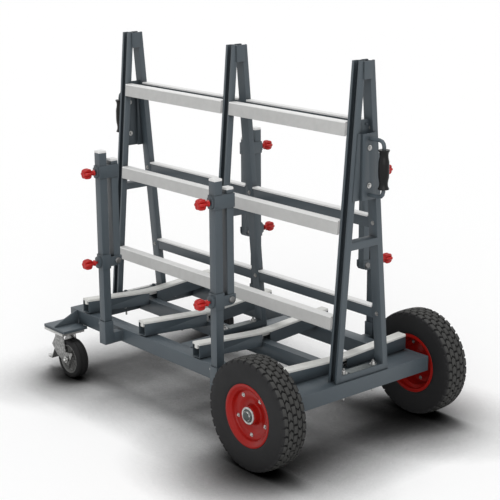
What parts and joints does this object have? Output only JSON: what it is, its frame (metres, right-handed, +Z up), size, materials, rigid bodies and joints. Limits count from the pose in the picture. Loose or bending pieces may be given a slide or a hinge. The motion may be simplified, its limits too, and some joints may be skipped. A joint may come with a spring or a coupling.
{
  "type": "slab buggy",
  "caption": "Wheeled A-frame cart that carries slabs on edge, with adjustable side posts, big pneumatic wheels at one end and braked swivel casters at the other.",
  "frame": {"origin": "on the floor, under the middle A-frame", "axes": "+X along the cart from the casters to the big wheels, +Y across it to its right-hand row of posts, +Z up"},
  "size_m": [1.568, 0.9636, 1.3756],
  "materials": {
    "frame_paint": "satin anthracite powder coat",
    "faced_rail": "anthracite steel with a matt light grey plastic facing",
    "faced_support": "anthracite steel with a matt light grey plastic strip",
    "red_plastic": "glossy red",
    "red_paint": "glossy red enamel",
    "tyre_rubber": "matt black block tread",
    "zinc": "bright zinc plate",
    "caster_rubber": "matt black with a grey core",
    "grip_plastic": "satin black"
  },
  "bodies": {
    "cart": {"side_beam_left": "frame_paint", "side_beam_right": "frame_paint", "centre_spine": "frame_paint", "front_cross_beam": "frame_paint", "rear_beam": "frame_paint", "axle_carrier_left": "frame_paint", "axle_carrier_right": "frame_paint", "a_frame_front": "frame_paint", "a_frame_middle": "frame_paint", "a_frame_rear": "frame_paint", "handle_front": "frame_paint", "handle_rear": "frame_paint", "post_left_front": "frame_paint", "post_left_rear": "frame_paint", "post_right_front": "frame_paint", "post_right_rear": "frame_paint", "rail_left_top_front": "faced_rail", "rail_left_top_rear": "faced_rail", "rail_left_middle_front": "faced_rail", "rail_left_middle_rear": "faced_rail", "rail_left_bottom_front": "faced_rail", "rail_left_bottom_rear": "faced_rail", "rail_right_top_front": "faced_rail", "rail_right_top_rear": "faced_rail", "rail_right_middle_front": "faced_rail", "rail_right_middle_rear": "faced_rail", "rail_right_bottom_front": "faced_rail", "rail_right_bottom_rear": "faced_rail", "slab_support_1": "faced_support", "slab_support_2": "faced_support", "slab_support_3": "faced_support", "slab_support_4": "faced_support", "grip_front": "grip_plastic", "grip_rear": "grip_plastic"},
    "wheel_left": {"tyre_left": "tyre_rubber", "rim_left": "red_paint"},
    "wheel_right": {"tyre_right": "tyre_rubber", "rim_right": "red_paint"},
    "swivel_left": {"caster_fork_left": "zinc"},
    "roller_left": {"caster_wheel_left": "caster_rubber"},
    "pedal_left": {"brake_pedal_left": "zinc"},
    "swivel_right": {"caster_fork_right": "zinc"},
    "roller_right": {"caster_wheel_right": "caster_rubber"},
    "pedal_right": {"brake_pedal_right": "zinc"},
    "collar_left_front": {"upper_collar_left_front": "frame_paint"},
    "bar_left_front": {"extension_bar_left_front": "frame_paint"},
    "upper_knob_left_front": {"upper_knob_left_front": "red_plastic"},
    "lower_knob_left_front": {"lower_knob_left_front": "red_plastic"},
    "collar_left_rear": {"upper_collar_left_rear": "frame_paint"},
    "bar_left_rear": {"extension_bar_left_rear": "frame_paint"},
    "upper_knob_left_rear": {"upper_knob_left_rear": "red_plastic"},
    "lower_knob_left_rear": {"lower_knob_left_rear": "red_plastic"},
    "collar_right_front": {"upper_collar_right_front": "frame_paint"},
    "bar_right_front": {"extension_bar_right_front": "frame_paint"},
    "upper_knob_right_front": {"upper_knob_right_front": "red_plastic"},
    "lower_knob_right_front": {"lower_knob_right_front": "red_plastic"},
    "collar_right_rear": {"upper_collar_right_rear": "frame_paint"},
    "bar_right_rear": {"extension_bar_right_rear": "frame_paint"},
    "upper_knob_right_rear": {"upper_knob_right_rear": "red_plastic"},
    "lower_knob_right_rear": {"lower_knob_right_rear": "red_plastic"}
  },
  "joints": [
    {"name": "wheel_spin_left", "type": "hinge", "parent": "cart", "child": "wheel_left", "pos_m": [0.579, -0.404, 0.2], "axis": [0, 1, 0], "continuous": true},
    {"name": "wheel_spin_right", "type": "hinge", "parent": "cart", "child": "wheel_right", "pos_m": [0.579, 0.404, 0.2], "axis": [0, 1, 0], "continuous": true},
    {"name": "caster_swivel_left", "type": "hinge", "parent": "cart", "child": "swivel_left", "pos_m": [-0.655, -0.385, 0.1], "axis": [0, 0, 1], "continuous": true},
    {"name": "caster_spin_left", "type": "hinge", "parent": "swivel_left", "child": "roller_left", "pos_m": [-0.6005, -0.385, 0.08], "axis": [0, 1, 0], "continuous": true},
    {"name": "brake_pedal_left", "type": "hinge", "parent": "swivel_left", "child": "pedal_left", "pos_m": [-0.695, -0.385, 0.112], "axis": [0, -1, 0], "range_deg": [0, 12]},
    {"name": "caster_swivel_right", "type": "hinge", "parent": "cart", "child": "swivel_right", "pos_m": [-0.655, 0.385, 0.1], "axis": [0, 0, 1], "continuous": true},
    {"name": "caster_spin_right", "type": "hinge", "parent": "swivel_right", "child": "roller_right", "pos_m": [-0.6005, 0.385, 0.08], "axis": [0, 1, 0], "continuous": true},
    {"name": "brake_pedal_right", "type": "hinge", "parent": "swivel_right", "child": "pedal_right", "pos_m": [-0.695, 0.385, 0.112], "axis": [0, -1, 0], "range_deg": [0, 12]},
    {"name": "collar_slide_left_front", "type": "slide", "parent": "cart", "child": "collar_left_front", "axis": [0, 0, 1], "range_m": [-0.045, 0.04]},
    {"name": "bar_slide_left_front", "type": "slide", "parent": "cart", "child": "bar_left_front", "axis": [0, 0, 1], "range_m": [0, 0.24]},
    {"name": "upper_knob_turn_left_front", "type": "hinge", "parent": "collar_left_front", "child": "upper_knob_left_front", "pos_m": [-0.347, -0.4148, 0.8965], "axis": [0, -1, 0], "range_deg": [0, 270]},
    {"name": "lower_knob_turn_left_front", "type": "hinge", "parent": "bar_left_front", "child": "lower_knob_left_front", "pos_m": [-0.347, -0.4198, 0.544], "axis": [0, -1, 0], "range_deg": [0, 270]},
    {"name": "collar_slide_left_rear", "type": "slide", "parent": "cart", "child": "collar_left_rear", "axis": [0, 0, 1], "range_m": [-0.045, 0.04]},
    {"name": "bar_slide_left_rear", "type": "slide", "parent": "cart", "child": "bar_left_rear", "axis": [0, 0, 1], "range_m": [0, 0.24]},
    {"name": "upper_knob_turn_left_rear", "type": "hinge", "parent": "collar_left_rear", "child": "upper_knob_left_rear", "pos_m": [0.347, -0.4148, 0.8965], "axis": [0, -1, 0], "range_deg": [0, 270]},
    {"name": "lower_knob_turn_left_rear", "type": "hinge", "parent": "bar_left_rear", "child": "lower_knob_left_rear", "pos_m": [0.347, -0.4198, 0.544], "axis": [0, -1, 0], "range_deg": [0, 270]},
    {"name": "collar_slide_right_front", "type": "slide", "parent": "cart", "child": "collar_right_front", "axis": [0, 0, 1], "range_m": [-0.045, 0.04]},
    {"name": "bar_slide_right_front", "type": "slide", "parent": "cart", "child": "bar_right_front", "axis": [0, 0, 1], "range_m": [0, 0.24]},
    {"name": "upper_knob_turn_right_front", "type": "hinge", "parent": "collar_right_front", "child": "upper_knob_right_front", "pos_m": [-0.347, 0.4148, 0.8965], "axis": [0, 1, 0], "range_deg": [0, 270]},
    {"name": "lower_knob_turn_right_front", "type": "hinge", "parent": "bar_right_front", "child": "lower_knob_right_front", "pos_m": [-0.347, 0.4198, 0.544], "axis": [0, 1, 0], "range_deg": [0, 270]},
    {"name": "collar_slide_right_rear", "type": "slide", "parent": "cart", "child": "collar_right_rear", "axis": [0, 0, 1], "range_m": [-0.045, 0.04]},
    {"name": "bar_slide_right_rear", "type": "slide", "parent": "cart", "child": "bar_right_rear", "axis": [0, 0, 1], "range_m": [0, 0.24]},
    {"name": "upper_knob_turn_right_rear", "type": "hinge", "parent": "collar_right_rear", "child": "upper_knob_right_rear", "pos_m": [0.347, 0.4148, 0.8965], "axis": [0, 1, 0], "range_deg": [0, 270]},
    {"name": "lower_knob_turn_right_rear", "type": "hinge", "parent": "bar_right_rear", "child": "lower_knob_right_rear", "pos_m": [0.347, 0.4198, 0.544], "axis": [0, 1, 0], "range_deg": [0, 270]}
  ]
}
